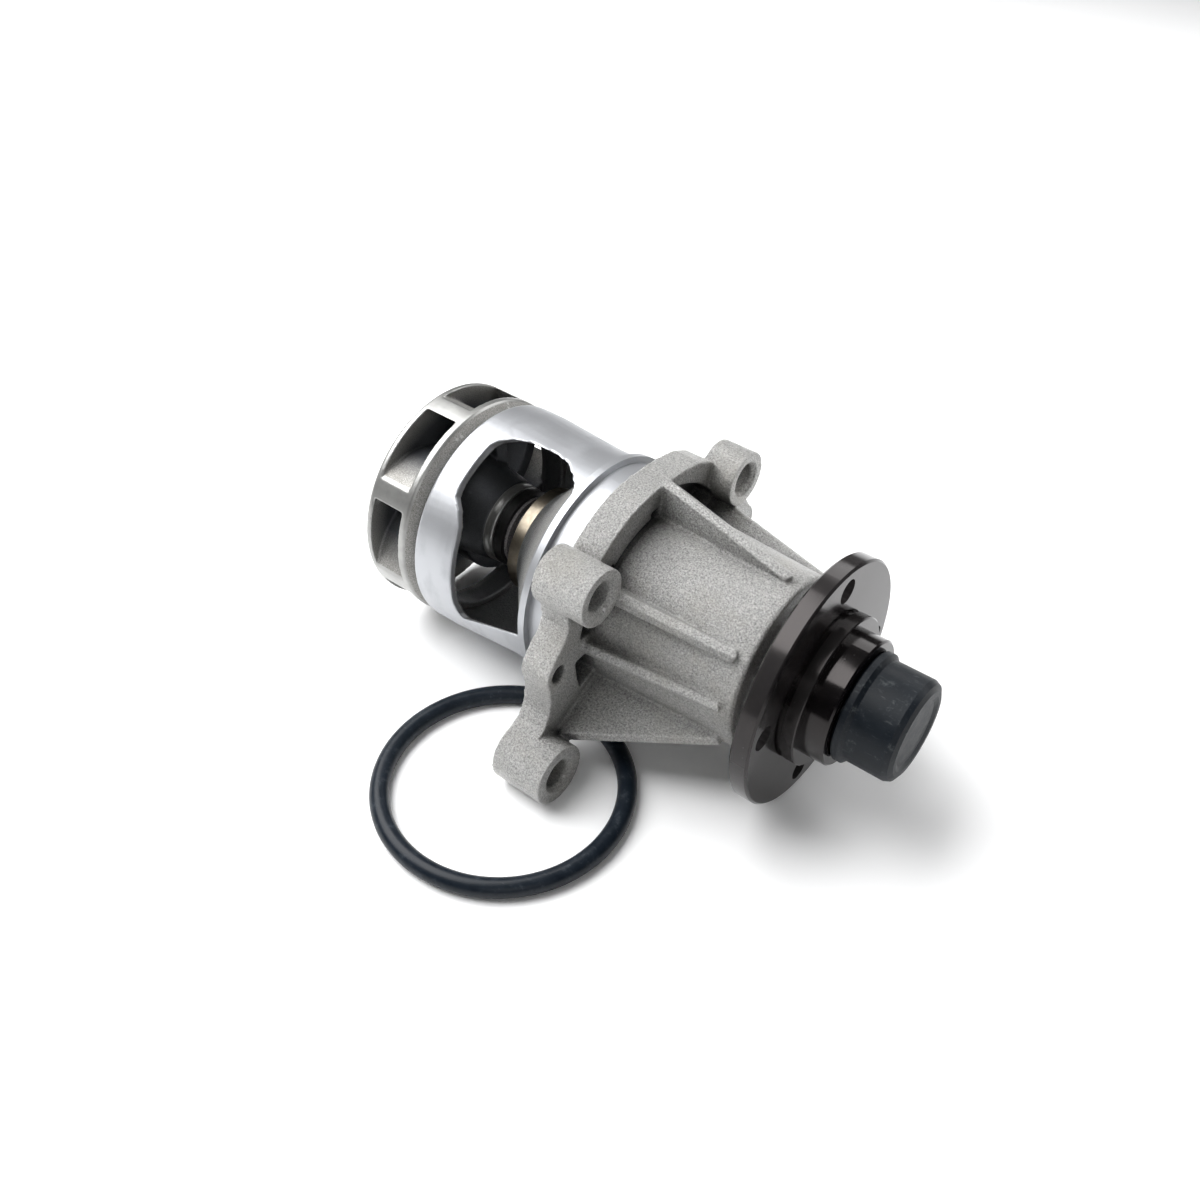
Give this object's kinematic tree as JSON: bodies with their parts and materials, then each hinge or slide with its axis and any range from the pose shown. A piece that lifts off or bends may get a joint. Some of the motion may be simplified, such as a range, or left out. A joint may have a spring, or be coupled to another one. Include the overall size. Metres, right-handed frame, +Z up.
{
  "type": "engine water pump",
  "caption": "Flange-mounted engine coolant pump with a windowed inlet cage, closed impeller, ribbed snout and bolt-on drive flange, with its loose seal ring.",
  "frame": {"origin": "on the shaft axis, in the plate face that bolts to the engine block", "axes": "+X along the shaft towards the drive flange, +Z up as the pump lies on a bench, +Y to the side"},
  "size_m": [0.159, 0.1495, 0.072],
  "materials": {
    "cast_aluminium": "sand-textured raw aluminium casting, with machined rings, land and hole edges",
    "bearing_steel": "ground and hardened steel",
    "ball_cage_plastic": "natural heat-stabilised polyamide",
    "seal_rubber": "black nitrile rubber, smooth",
    "black_steel": "turned steel with a glossy black oxide finish",
    "cap_rubber": "black moulded rubber, dusty and scuffed",
    "impeller_metal": "fine-cast aluminium, matt, with a turned rim and hub band",
    "seat_ceramic": "lapped dark ceramic",
    "carbon": "lapped carbon graphite",
    "stainless": "bright pressed stainless steel",
    "seal_brass": "pressed brass, slightly dulled",
    "o_ring_rubber": "black moulded rubber with a faint parting line"
  },
  "bodies": {
    "housing_body": {"housing": "cast_aluminium", "bearing_outer_race": "bearing_steel", "rear_bearing_seal": "seal_rubber", "front_bearing_seal": "seal_rubber", "seal_carbon_ring": "carbon", "seal_carbon_band": "stainless", "seal_case": "seal_brass", "seal_bellows": "seal_rubber", "seal_spring": "stainless"},
    "rotor": {"pump_shaft": "bearing_steel", "drive_flange": "black_steel", "impeller": "impeller_metal", "seal_seat_cup": "seal_rubber", "seal_seat_ring": "seat_ceramic", "slinger_ring": "seal_rubber"},
    "rear_ball_set": {"rear_bearing_balls": "bearing_steel", "rear_ball_cage": "ball_cage_plastic"},
    "front_ball_set": {"front_bearing_balls": "bearing_steel", "front_ball_cage": "ball_cage_plastic"},
    "cap": {"thread_protector_cap": "cap_rubber"},
    "o_ring": {"flange_o_ring": "o_ring_rubber"}
  },
  "joints": [
    {"name": "rotor_spin", "type": "hinge", "parent": "housing_body", "child": "rotor", "pos_m": [0, 0, 0], "axis": [1, 0, 0], "continuous": true},
    {"name": "rear_balls_roll", "type": "hinge", "parent": "housing_body", "child": "rear_ball_set", "pos_m": [0, 0, 0], "axis": [1, 0, 0], "continuous": true},
    {"name": "front_balls_roll", "type": "hinge", "parent": "housing_body", "child": "front_ball_set", "pos_m": [0, 0, 0], "axis": [1, 0, 0], "continuous": true},
    {"name": "cap_pull", "type": "slide", "parent": "rotor", "child": "cap", "axis": [1, 0, 0], "range_m": [0, 0.02]},
    {"name": "o_ring_slide", "type": "slide", "parent": "housing_body", "child": "o_ring", "axis": [0, -1, 0], "range_m": [0, 0.01]}
  ],
  "couplings": [
    {"joint": "rear_balls_roll", "follows": "rotor_spin", "ratio": 0.3725},
    {"joint": "front_balls_roll", "follows": "rotor_spin", "ratio": 0.3725}
  ]
}
